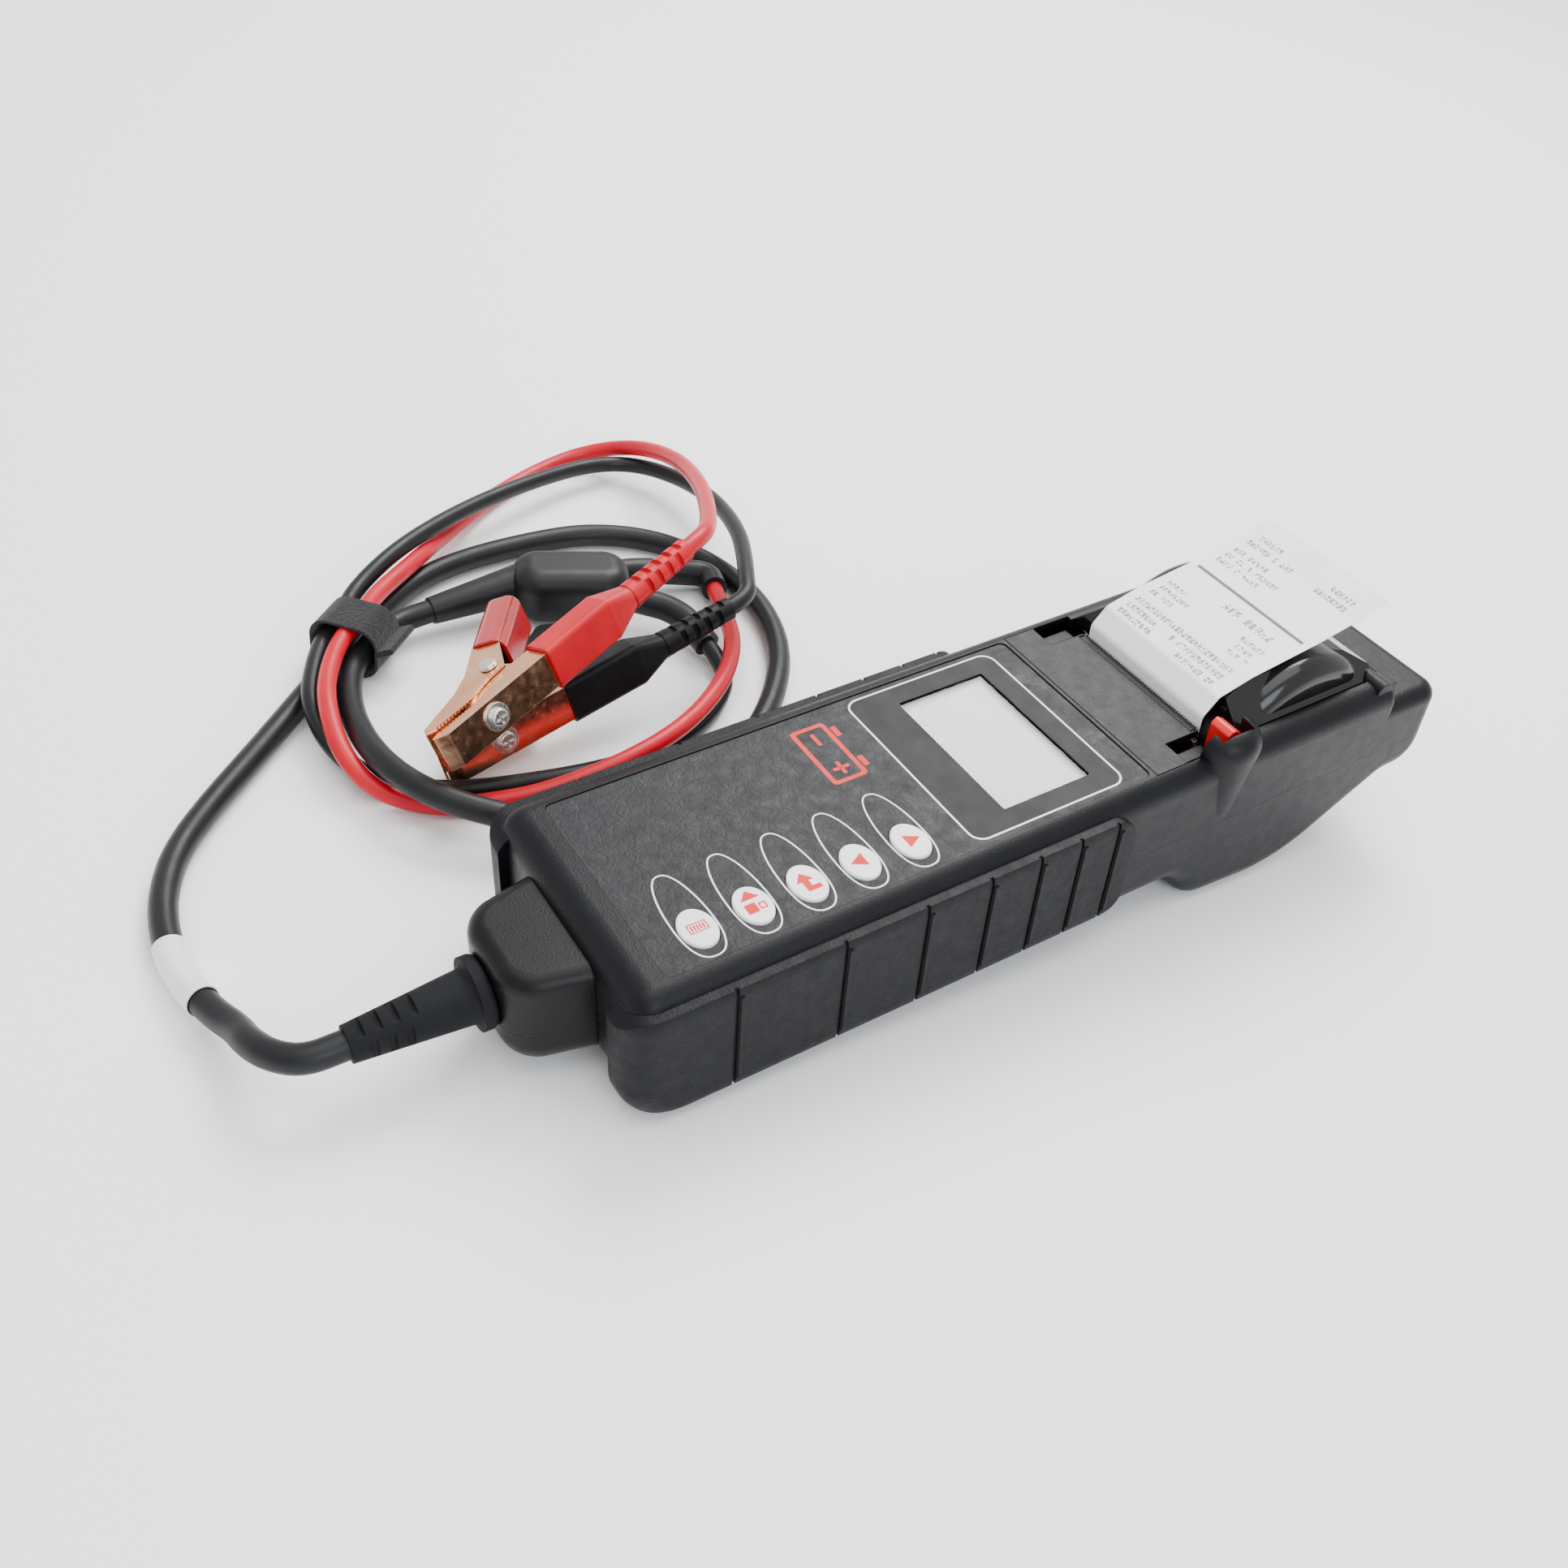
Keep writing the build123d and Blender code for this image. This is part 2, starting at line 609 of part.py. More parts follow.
with BuildPart() as hood_top:
    add(hood.part)
    add(slab(-60, 340, -90, PARTING), mode=Mode.SUBTRACT)

with BuildPart() as hood_bottom:
    add(hood.part)
    add(slab(-60, 340, PARTING, 40), mode=Mode.SUBTRACT)


def relief(length, base, tip, smooth, rings):
    """Flexible sleeve on a cable along X: a tapered core, with slots crossing over beyond its smooth part."""
    with BuildPart() as sleeve:
        with BuildSketch(Plane.XY):
            with BuildLine():
                Polyline((0, 0), (0, base / 2), (length, tip / 2), (length, 0), close=True)
            make_face()
        revolve(axis=Axis.X)
        pitch = (length - smooth) / (rings + 0.5)
        for index in range(1, rings + 1):
            x = smooth + (index - 0.25) * pitch
            radius = base / 2 + (tip - base) / 2 * x / length
            with Locations(Location((x, 0, radius)), Location((x, 0, -radius))):
                Box(pitch * 0.42, radius * 1.3, 2.6, mode=Mode.SUBTRACT)
            if index < rings:
                x += pitch / 2
                with Locations(Location((x, radius, 0)), Location((x, -radius, 0))):
                    Box(pitch * 0.42, 2.6, radius * 1.3, mode=Mode.SUBTRACT)
    return sleeve.part


with BuildPart() as strain_relief:
    add(relief(37.0, 17.4, 11.6, 14.0, 4).moved(Location((0, -43.0, CABLE_Z), (0, 0, -90))))
    with Locations(Location((0, -40.75, CABLE_Z), (90, 0, 0))):
        Cylinder(11.6, 4.5)
    fillet(strain_relief.edges().filter_by(GeomType.CIRCLE).sort_by(Axis.Y)[-2:], 1.9)
    with Locations(Location((0, -36.0, CABLE_Z), (90, 0, 0))):
        Cylinder(6.9, 6.0)
    with Locations(Location((0, -33.6, CABLE_Z), (90, 0, 0))):
        Cylinder(9.6, 3.6)

# ---------------------------------------------------------------- cords


def from_tester(x, y, z):
    """Point on or over the table, counted from the zero of the tester's keypad."""
    return Vector(x + STAND_X, y + STAND_Y, z)


MAIN_ROUTE = [
    (0, -78.1, 21.25), (-0.2, -89.5, 20.2), (-6.5, -96.5, 18.6), (-16.7, -100.4, 15.8),
    (-26.2, -100.8, 12.2), (-37.5, -104.4, 9.4), (-50.3, -107, 7.2), (-63.9, -108.2, 5.8),
    (-79.9, -107.1, 5.4), (-96.3, -102.6, 5.2), (-113.1, -93.7, 5), (-129, -79.3, 5),
    (-149, -57.5, 5), (-171.5, -33.4, 5.2), (-197.3, -5.7, 6.3), (-214.9, 12.9, 5.2),
    (-231.1, 35.1, 5), (-238.4, 56.9, 5), (-241, 86, 5), (-239.3, 116.9, 5), (-224.1, 141.8, 5),
    (-197.8, 156.4, 5), (-165.6, 159.9, 5), (-133.1, 150.4, 5), (-105.4, 129.5, 5),
    (-85.3, 105.4, 5), (-73.4, 79.1, 5), (-68.7, 52.5, 5), (-67.8, 30, 7.4), (-71.3, 13.4, 12.6),
    (-79.4, -0.6, 15.8), (-91.9, -13.1, 17.2), (-108, -20.6, 17), (-128.2, -23.4, 15.6),
    (-155.6, -19.6, 10.6), (-178.6, -11.5, 9.4), (-192.8, 2.4, 9.8), (-198.4, 11.2, 9.4),
    (-202.4, 20.2, 9.1), (-202.6, 30.5, 10),
]
RED_ROUTE = [
    (-178, 144.8, 7.5), (-154.8, 137.2, 9.4), (-136.2, 129.1, 11.4), (-118.6, 115.4, 12.4),
    (-104.5, 97.8, 12.6), (-94.5, 79, 12.8), (-89.5, 58.7, 11.6), (-89.2, 39.6, 8.8),
    (-91.7, 23.2, 5.6), (-95.8, 9.8, 3.8), (-99.2, -4.8, 3.8), (-106.6, -16.4, 3.8),
    (-114.9, -27.5, 8), (-130.9, -32, 13), (-148.9, -29.7, 18), (-166.3, -24.1, 17.8),
    (-187.2, -11.4, 17.6), (-199.3, 1.9, 17.2), (-211.8, 11.1, 16), (-230.4, 33.9, 14.2),
    (-260.7, 62.8, 5.6), (-281, 89, 3.8), (-293.2, 112.8, 3.8), (-299.6, 134.6, 5),
    (-297.8, 146.6, 7.6), (-291.1, 155.7, 11.6), (-278.4, 161.8, 17.4), (-258.7, 163.8, 24.4),
    (-232.8, 159.9, 32.5), (-202.1, 149.1, 41.5), (-173.9, 135.2, 49.6), (-156.6, 124.8, 54.4),
    (-147.4, 117, 57.2),
]
BLACK_ROUTE = [
    (-145, 122.5, 7), (-133.8, 123.7, 4.6), (-120, 116.5, 3.8), (-106.3, 99.7, 3.8),
    (-98.6, 80.2, 3.8), (-96.3, 60.6, 3.8), (-97.5, 42.8, 3.8), (-100.3, 26.2, 3.8),
    (-103.4, 11.1, 3.8), (-108.1, -3, 3.8), (-115.7, -15.7, 3.8), (-128.6, -26.4, 3.8),
    (-145.4, -31.8, 6.2), (-158.9, -32.4, 12.6), (-172.4, -27.9, 14), (-194.7, -15.5, 14.2),
    (-205.1, -3.3, 14.2), (-218, 4, 14.4), (-233.3, 25, 17.6), (-247.4, 47.9, 17.4),
    (-261.5, 74.2, 15.4), (-272.2, 100.3, 13.4), (-281.1, 125.4, 10.6), (-284.4, 141.4, 9),
    (-282.8, 154.4, 8.2), (-274.7, 164, 9), (-259.9, 169.7, 11.4), (-239.6, 171.3, 15.6),
    (-213.5, 167.7, 21.4), (-183.6, 157.9, 28), (-160.4, 146.2, 32), (-145, 137.6, 33.8),
    (-134.8, 132.2, 33.6),
]


def corner_radii(points):
    radii = []
    for before, corner, after in zip(points, points[1:], points[2:]):
        turn = (corner - before).get_angle(after - corner)
        run = min((corner - before).length, (after - corner).length)
        radii.append(0.45 * run / tan(radians(turn) / 2))
    return radii


def cord(name, points, diameter):
    """Plain tube along straight runs joined by tangent arcs, its volume checked against section times length."""
    radii = corner_radii(points)
    with BuildPart() as tube:
        with BuildLine() as path:
            FilletPolyline(*points, radius=radii)
        with BuildSketch(Plane(points[0], z_dir=points[1] - points[0])):
            Circle(diameter / 2)
        sweep()
    length = sum(edge.length for edge in path.edges())
    share = tube.part.volume / (length * pi * diameter ** 2 / 4)
    print(name, "length", round(length, 1), "volume share", round(share, 4))
    print(name, "bend radii", [round(radius) for radius in radii])
    return tube.part


# ---------------------------------------------------------------- Kelvin clamps
CLAMP_EXIT = 76.0
CLAMP_AXIS_DEPTH = 5.5
CLAMP_POSES = {
    "black": ((-117.8, 49.3, 19.1), (-0.134, 0.972, 0.191), (-0.301, -0.224, 0.927)),
    "red": ((-112.3, 39.2, 41.0), (-0.347, 0.913, 0.217), (-0.281, -0.321, 0.904)),
}


def jaw_plate(outline, half_width, inner_outline, inner_half_width):
    """Folded sheet jaw: a side outline given width, with a smaller one taken out of its middle."""
    with BuildPart() as jaw:
        with BuildSketch(Plane.XY):
            with BuildLine():
                Polyline(*outline, close=True)
            make_face()
        extrude(amount=half_width, both=True)
        with BuildSketch(Plane.XY):
            with BuildLine():
                Polyline(*inner_outline, close=True)
            make_face()
        extrude(amount=inner_half_width, both=True, mode=Mode.SUBTRACT)
        with Locations((-14.0, 16.0, 0)):
            Cylinder(2.06, 40, mode=Mode.SUBTRACT)
    return jaw.part


TOOTH_STEP = 1.5
TOOTH_X = [-47.0 + index * TOOTH_STEP for index in range(11)]

fixed_outline = [(10.0, 0.6), (-46.5, 0.6), (-51.0, 3.4), (-51.0, 4.6)]
for tooth_x in TOOTH_X:
    fixed_outline += [(tooth_x, 5.7), (tooth_x + TOOTH_STEP / 2, 4.9)]
fixed_outline += [(-30.0, 5.6), (-22.4, 13.0), (-18.0, 19.6), (-11.0, 19.6), (-8.6, 10.4), (10.0, 10.4)]
fixed_inner = [(20.0, 1.6), (-46.2, 1.6), (-49.8, 3.9), (-49.8, 30.0), (20.0, 30.0)]

moving_outline = [(-51.2, 7.2), (-49.4, 10.4), (-30.0, 16.6), (-20.7, 22.0), (-6.8, 34.1), (17.4, 53.6)]
moving_outline += [(23.9, 45.5), (-0.2, 26.0), (-7.5, 15.5), (-10.3, 11.6), (-19.0, 10.6), (-29.0, 7.4)]
for tooth_x in reversed(TOOTH_X):
    moving_outline += [(tooth_x + TOOTH_STEP / 2, 7.2), (tooth_x, 6.2)]
moving_inner = [(-51.8, 4.0), (-48.8, 9.4), (-29.6, 15.5), (-20.2, 20.8), (-6.2, 32.9), (18.4, 52.7)]
moving_inner += [(26.0, 44.0), (0.0, 20.0), (-8.0, 8.0), (-40.0, 4.0)]

with BuildPart() as boot:
    with BuildSketch(Plane.YZ):
        with Locations((CLAMP_AXIS_DEPTH, 0)):
            RectangleRounded(12.4, 16.4, 2.2)
    extrude(amount=31.0)
    with BuildSketch(Plane.YZ.offset(31.0)):
        with Locations((CLAMP_AXIS_DEPTH, 0)):
            RectangleRounded(12.4, 16.4, 2.2)
    with BuildSketch(Plane.YZ.offset(44.0)):
        with Locations((CLAMP_AXIS_DEPTH, 0)):
            RectangleRounded(9.4, 9.4, 4.2)
    loft()
    add(relief(CLAMP_EXIT - 44.0, 10.4, 8.8, 1.0, 5).moved(Location((44.0, CLAMP_AXIS_DEPTH, 0))))
    with Locations((5.5, CLAMP_AXIS_DEPTH, 0)):
        Box(11.0, 10.2, 13.8, mode=Mode.SUBTRACT)

fixed_jaw = jaw_plate(fixed_outline, 6.7, fixed_inner, 5.7)
moving_jaw = jaw_plate(moving_outline, 8.0, moving_inner, 7.0)

HANDLE = Plane((-3.5, 30.0, 0), (0.778, 0.628, 0), (0, 0, 1))

with BuildPart() as handle_cap:
    with BuildSketch(Plane(HANDLE.origin, (0, 0, 1), HANDLE.x_dir)) as cap_section:
        RectangleRounded(18.4, 13.6, 4.6)
    extrude(amount=34.0)
    fillet(handle_cap.faces().sort_by(Axis.X)[-1].edges(), 3.0)
    with BuildSketch(Plane(HANDLE.origin, (0, 0, 1), HANDLE.x_dir)):
        Rectangle(16.4, 10.8)
    extrude(amount=31.6, mode=Mode.SUBTRACT)

with BuildPart() as clamp_pivot:
    with Locations((-14.0, 16.0, 0)):
        Cylinder(2.0, 19.4)
    for side in (-1, 1):
        with Locations((-14.0, 16.0, side * 9.1)):
            Cylinder(3.2, 1.5)
    fillet(clamp_pivot.faces().sort_by(Axis.Z)[-1].edges(), 0.6)
    fillet(clamp_pivot.faces().sort_by(Axis.Z)[0].edges(), 0.6)

with BuildPart() as clamp_spring:
    for index in range(5):
        with Locations((-14.0, 16.0, (index - 2) * 1.5)):
            Torus(3.2, 0.6)

with BuildPart() as clamp_screw:
    with Locations(Location((-28.0, 0.2, 0), (90, 0, 0))):
        Cylinder(5.0, 0.8)
    with Locations(Location((-28.0, -1.2, 0), (90, 0, 0))):
        Cylinder(3.2, 2.0)
    fillet(clamp_screw.faces().sort_by(Axis.Y)[0].edges(), 0.8)
    with Locations((-28.0, -2.0, 0)):
        Box(4.4, 1.2, 0.8, mode=Mode.SUBTRACT)
        Box(0.8, 1.2, 4.4, mode=Mode.SUBTRACT)

# ---------------------------------------------------------------- splitter, tie and label
with BuildPart() as y_splitter:
    with BuildSketch(Plane(from_tester(-202.8, 65.4, 13.0), (0.375, 0.927, 0), (0, 0, 1)).offset(-11.4)):
        with Locations((23.0, 0)):
            RectangleRounded(47.0, 27.0, 11.0)
    extrude(amount=23.0)
    fillet(y_splitter.faces().sort_by(Axis.Z)[0].edges(), 8.0)
    fillet(y_splitter.faces().sort_by(Axis.Z)[-1].edges(), 8.0)
    entry = Plane(from_tester(-202.6, 30.5, 10), z_dir=(-0.2, 11.5, 1))
    with BuildSketch(entry):
        Circle(5.4)
    with BuildSketch(entry.offset(40.0)):
        Circle(8.0)
    loft()
    for start, middle, corner, end in [
        ((-196, 84, 13), (-200.5, 114, 10.5), (-190.3, 148.8, 6.5), (-178, 144.8, 7.5)),
        ((-190, 90, 13.5), (-180, 104, 12.4), (-164.5, 120.4, 11.2), (-145, 122.5, 7)),
    ]:
        limb = [from_tester(*point) for point in (start, middle, corner, end)]
        with BuildLine():
            FilletPolyline(*limb, radius=corner_radii(limb))
        with BuildSketch(Plane(limb[0], z_dir=limb[1] - limb[0])):
            Circle(5.4)
        sweep()

TIE_ALONG = Vector(-0.67, 0.742, 0)
with BuildPart() as cable_tie:
    tie_plane = Plane(from_tester(-195.5, -2.7, 11.3), x_dir=(0.742, 0.67, 0), z_dir=TIE_ALONG)
    with BuildSketch(tie_plane.offset(-9.0)):
        RectangleRounded(27.6, 21.9, 8.0)
        # its loose end
        with Locations(Location((16.2, -3.0), -28.0)):
            RectangleRounded(9.0, 2.4, 1.1)
        RectangleRounded(25.4, 19.7, 7.0, mode=Mode.SUBTRACT)
    extrude(amount=18.0)

# wrapped label, following two bends of the main cable
label_bends = [from_tester(*point) for point in MAIN_ROUTE[5:9]]
label_start = (label_bends[0] + label_bends[1]) / 2
label_end = (label_bends[2] + label_bends[3]) / 2
with BuildPart() as cable_label:
    with BuildLine():
        FilletPolyline(label_start, *label_bends[1:3], label_end, radius=corner_radii(label_bends))
    with BuildSketch(Plane(label_start, z_dir=label_bends[1] - label_start)):
        Circle(5.3)
        Circle(4.9, mode=Mode.SUBTRACT)
    sweep()

# ---------------------------------------------------------------- one STEP file per piece
tester_pieces = {
    "top_case": top_case.part,
    "bottom_case": bottom_case.part,
    "case_screws": case_screws.part,
    "grip_left": grip_left,
    "grip_right": grip_right,
    "keypad_overlay": keypad_overlay.part,
    "lcd_window": lcd_window.part,
    "lcd_module": lcd_module.part,
    "main_board": main_board.part,
    "key_mat": key_mat.part,
    "printer_cover": printer_cover.part,
    "tear_blade": tear_blade.part,
    "printer_frame": printer_frame.part,
    "print_head": print_head.part,
    "stepper_motor": stepper_motor.part,
    "motor_gear": motor_gear,
    "platen_roller": platen_roller.part,
    "platen_gear": platen_gear,
    "paper_roll": paper_roll.part,
    "printer_door": printer_door.part,
    "hinge_pin": hinge_pin.part,
    "release_lever": release_lever.part,
    "lever_pin": lever_pin.part,
    "receipt": receipt.part,
    "battery_door": battery_door.part,
    "aa_cells": aa_cells.part,
    "battery_contacts": battery_contacts.part,
    "hood_top": hood_top.part,
    "hood_bottom": hood_bottom.part,
    "strain_relief": strain_relief.part,
}
for key_name, key_piece in keys.items():
    tester_pieces["key_" + key_name] = key_piece
for name, piece in tester_pieces.items():
    write_tester_piece(piece, name)

clamp_parts = {
    "boot": boot.part,
    "fixed_jaw": fixed_jaw,
    "moving_jaw": moving_jaw,
    "handle_cap": handle_cap.part,
    "pivot": clamp_pivot.part,
    "spring": clamp_spring.part,
    "screw": clamp_screw.part,
}
lead_routes = {"red": RED_ROUTE, "black": BLACK_ROUTE}
for colour, (zero, along, across) in CLAMP_POSES.items():
    clamp_plane = Plane(from_tester(*zero), x_dir=along, z_dir=across)
    for name, piece in clamp_parts.items():
        write_piece(piece.moved(clamp_plane.location), colour + "_" + name)
    lead_end = clamp_plane.from_local_coords(Vector(CLAMP_EXIT, CLAMP_AXIS_DEPTH, 0))
    lead_points = [from_tester(*point) for point in lead_routes[colour]] + [lead_end]
    print(colour, "clamp exit", lead_end)
    write_piece(cord(colour + "_lead", lead_points, LEAD), colour + "_lead")

write_piece(cord("main_cable", [from_tester(*point) for point in MAIN_ROUTE], MAIN_CABLE), "main_cable")
write_piece(y_splitter.part, "y_splitter")
write_piece(cable_tie.part, "cable_tie")
write_piece(cable_label.part, "cable_label")
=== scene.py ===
import math
import random

import bpy
from mathutils import Matrix, Vector


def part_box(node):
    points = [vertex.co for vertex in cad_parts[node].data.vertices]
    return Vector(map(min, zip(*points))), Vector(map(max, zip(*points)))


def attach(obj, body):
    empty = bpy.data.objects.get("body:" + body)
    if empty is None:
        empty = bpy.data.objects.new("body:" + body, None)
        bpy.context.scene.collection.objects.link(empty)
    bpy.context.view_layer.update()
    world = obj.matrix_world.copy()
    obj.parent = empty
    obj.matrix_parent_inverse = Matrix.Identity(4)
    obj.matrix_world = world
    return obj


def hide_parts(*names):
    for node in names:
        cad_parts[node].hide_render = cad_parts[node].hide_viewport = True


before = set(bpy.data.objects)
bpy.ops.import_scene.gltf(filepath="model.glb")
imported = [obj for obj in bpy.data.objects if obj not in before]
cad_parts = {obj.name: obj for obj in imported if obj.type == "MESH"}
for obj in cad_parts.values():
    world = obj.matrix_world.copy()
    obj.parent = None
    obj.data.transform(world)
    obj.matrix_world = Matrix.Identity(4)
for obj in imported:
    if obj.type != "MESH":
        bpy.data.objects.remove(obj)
cad_low = Vector((1e9, 1e9, 1e9))
cad_high = Vector((-1e9, -1e9, -1e9))
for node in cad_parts:
    low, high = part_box(node)
    cad_low = Vector(map(min, cad_low, low))
    cad_high = Vector(map(max, cad_high, high))

MM = 0.001

# ---------------------------------------------------------------- the tester's own frame, in millimetres
LEAN = math.radians(4.4)
ORIGIN_Y = 116.5
# the lower end of the case is rounded about this point, and the rounding touches the table
END_ROUNDING_Y = 2.0
END_ROUNDING_Z = -34.0
END_ROUNDING_RADIUS = 16.0
TABLE_AT_ZERO = END_ROUNDING_Z - END_ROUNDING_RADIUS / math.cos(LEAN) + END_ROUNDING_Y * math.tan(LEAN)
TESTER = (
    Matrix.Translation((0, -ORIGIN_Y * MM, -TABLE_AT_ZERO * math.cos(LEAN) * MM))
    @ Matrix.Rotation(LEAN, 4, "X")
)


def on_table(x, y, z):
    """Point over the table, in metres, counted in millimetres from the zero of the keypad."""
    return Vector((x * MM, (y - ORIGIN_Y) * MM, z * MM))


# ---------------------------------------------------------------- materials
def new_material(name):
    material = bpy.data.materials.new(name)
    material.use_nodes = True
    tree = material.node_tree
    return material, tree, tree.nodes["Principled BSDF"]


def noise(tree, scale, detail=4.0, rough=0.5, distortion=0.0):
    coords = tree.nodes.new("ShaderNodeTexCoord")
    texture = tree.nodes.new("ShaderNodeTexNoise")
    texture.inputs["Scale"].default_value = scale
    texture.inputs["Detail"].default_value = detail
    texture.inputs["Roughness"].default_value = rough
    texture.inputs["Distortion"].default_value = distortion
    tree.links.new(coords.outputs["Object"], texture.inputs["Vector"])
    return texture.outputs["Fac"]


def ramp(tree, value, stops):
    node = tree.nodes.new("ShaderNodeValToRGB")
    while len(node.color_ramp.elements) < len(stops):
        node.color_ramp.elements.new(0.5)
    for element, (place, colour) in zip(node.color_ramp.elements, stops):
        element.position = place
        element.color = (*colour, 1.0)
    tree.links.new(value, node.inputs["Fac"])
    return node.outputs["Color"]


def span(tree, value, low, high):
    node = tree.nodes.new("ShaderNodeMapRange")
    node.inputs["From Min"].default_value = 0.3
    node.inputs["From Max"].default_value = 0.7
    node.inputs["To Min"].default_value = low
    node.inputs["To Max"].default_value = high
    tree.links.new(value, node.inputs["Value"])
    return node.outputs["Result"]


def surface(name, tones, rough, metal=0.0, grain=(), edge=0.0004, patch=60.0, coat=0.0, specular=0.5,
            sheen=0.0):
    """A finish: two tones in patches, roughness that varies, fine grain in relief and softened edges."""
    material, tree, shader = new_material(name)
    patches = noise(tree, patch, 6.0, 0.6)
    tree.links.new(ramp(tree, patches, [(0.3, tones[0]), (0.7, tones[1])]), shader.inputs["Base Color"])
    wear = noise(tree, patch * 3.3, 8.0, 0.65)
    tree.links.new(span(tree, wear, rough[0], rough[1]), shader.inputs["Roughness"])
    shader.inputs["Metallic"].default_value = metal
    shader.inputs["Coat Weight"].default_value = coat
    shader.inputs["Coat Roughness"].default_value = 0.25
    shader.inputs["Specular IOR Level"].default_value = specular
    shader.inputs["Sheen Weight"].default_value = sheen
    normal = None
    if edge:
        soften = tree.nodes.new("ShaderNodeBevel")
        soften.samples = 4
        soften.inputs["Radius"].default_value = edge
        normal = soften.outputs["Normal"]
    for scale, depth in grain:
        relief = tree.nodes.new("ShaderNodeBump")
        relief.inputs["Distance"].default_value = depth
        relief.inputs["Strength"].default_value = 1.0
        tree.links.new(noise(tree, scale, 3.0, 0.6), relief.inputs["Height"])
        if normal:
            tree.links.new(normal, relief.inputs["Normal"])
        normal = relief.outputs["Normal"]
    if normal:
        tree.links.new(normal, shader.inputs["Normal"])
    return material


case_plastic = surface("case_plastic", [(0.0015, 0.0018, 0.0028), (0.003, 0.0034, 0.0048)], (0.34, 0.46),
                       grain=[(1500, 0.00011), (420, 0.00005)], edge=0.0006, specular=0.2)
hood_plastic = surface("hood_plastic", [(0.0018, 0.0018, 0.0022), (0.0032, 0.0032, 0.0038)], (0.3, 0.42),
                       grain=[(1800, 0.00007)], edge=0.0008, specular=0.2)
grip_rubber = surface("grip_rubber", [(0.0014, 0.0016, 0.0026), (0.0028, 0.0032, 0.0048)], (0.42, 0.56),
                      grain=[(1150, 0.0002), (300, 0.00006)], edge=0.0006, specular=0.18)
door_plastic = surface("door_plastic", [(0.004, 0.004, 0.005), (0.007, 0.007, 0.008)], (0.07, 0.16),
                       grain=[(90, 0.00002)], edge=0.0006, patch=25.0, coat=0.2, specular=0.3)
key_white = surface("key_white", [(0.76, 0.76, 0.74), (0.84, 0.84, 0.83)], (0.3, 0.42),
                    grain=[(900, 0.00002)], edge=0.0003)
key_silicone = surface("key_silicone", [(0.3, 0.3, 0.31), (0.38, 0.38, 0.39)], (0.5, 0.65),
                       grain=[(800, 0.00003)])
board_laminate = surface("board_laminate", [(0.01, 0.09, 0.03), (0.02, 0.13, 0.05)], (0.3, 0.5),
                         grain=[(600, 0.00003)], patch=300)
lever_red = surface("lever_red", [(0.62, 0.008, 0.008), (0.74, 0.014, 0.012)], (0.24, 0.36),
                    grain=[(500, 0.00002)], edge=0.0006)
steel = surface("steel", [(0.5, 0.5, 0.5), (0.66, 0.66, 0.65)], (0.22, 0.4), metal=1.0,
                grain=[(1600, 0.00002)], patch=200)
zinc = surface("zinc", [(0.62, 0.61, 0.57), (0.82, 0.81, 0.78)], (0.2, 0.42), metal=1.0,
               grain=[(1200, 0.00004)], patch=260)
paper = surface("paper", [(0.84, 0.84, 0.85), (0.9, 0.9, 0.9)], (0.55, 0.7),
                grain=[(1400, 0.00002), (160, 0.00008)], edge=0.0)
platen_rubber = surface("platen_rubber", [(0.02, 0.02, 0.02), (0.04, 0.04, 0.04)], (0.6, 0.75),
                        grain=[(900, 0.00005)])
gear_plastic = surface("gear_plastic", [(0.6, 0.58, 0.5), (0.7, 0.68, 0.62)], (0.4, 0.5),
                       grain=[(700, 0.00002)])
cell_jacket = surface("cell_jacket", [(0.02, 0.02, 0.025), (0.2, 0.12, 0.02)], (0.2, 0.3),
                      grain=[(300, 0.00002)])
copper = surface("copper", [(0.86, 0.4, 0.22), (0.96, 0.56, 0.36)], (0.12, 0.3), metal=1.0,
                 grain=[(260, 0.00004), (1500, 0.00001)], edge=0.0003, patch=90)
vinyl_red = surface("vinyl_red", [(0.42, 0.0, 0.008), (0.54, 0.002, 0.012)], (0.32, 0.46),
                    grain=[(700, 0.00005)], edge=0.0006, specular=0.25)
cap_red = surface("cap_red", [(0.34, 0.003, 0.008), (0.46, 0.004, 0.012)], (0.1, 0.22), grain=[(60, 0.00006)],
                  edge=0.0006, coat=0.4)
vinyl_black = surface("vinyl_black", [(0.0035, 0.0035, 0.004), (0.006, 0.006, 0.007)], (0.36, 0.5),
                      grain=[(700, 0.00005)], edge=0.0006, specular=0.18)
cable_black = surface("cable_black", [(0.006, 0.0064, 0.0075), (0.01, 0.0105, 0.012)], (0.34, 0.48),
                      grain=[(900, 0.00004), (45, 0.0002)], edge=0.0, patch=40, specular=0.24)
sleeve_rubber = surface("sleeve_rubber", [(0.006, 0.0064, 0.0075), (0.01, 0.0105, 0.012)], (0.6, 0.75),
                        grain=[(900, 0.00005)], edge=0.0006, patch=40, specular=0.12)
cable_red = surface("cable_red", [(0.44, 0.0, 0.012), (0.58, 0.002, 0.018)], (0.3, 0.42),
                    grain=[(900, 0.00004), (45, 0.0002)], edge=0.0, patch=40, specular=0.25)
tie_fabric = surface("tie_fabric", [(0.004, 0.004, 0.005), (0.014, 0.014, 0.016)], (0.85, 0.97),
                     grain=[(1500, 0.0006), (500, 0.0004)], edge=0.0, patch=700, sheen=0.2, specular=0.15)
label_film = surface("label_film", [(0.72, 0.72, 0.72), (0.84, 0.84, 0.84)], (0.12, 0.24),
                     grain=[(120, 0.0001)], edge=0.0, coat=0.3)
ink_white = surface("ink_white", [(0.72, 0.72, 0.72), (0.8, 0.8, 0.8)], (0.4, 0.5), edge=0.0)
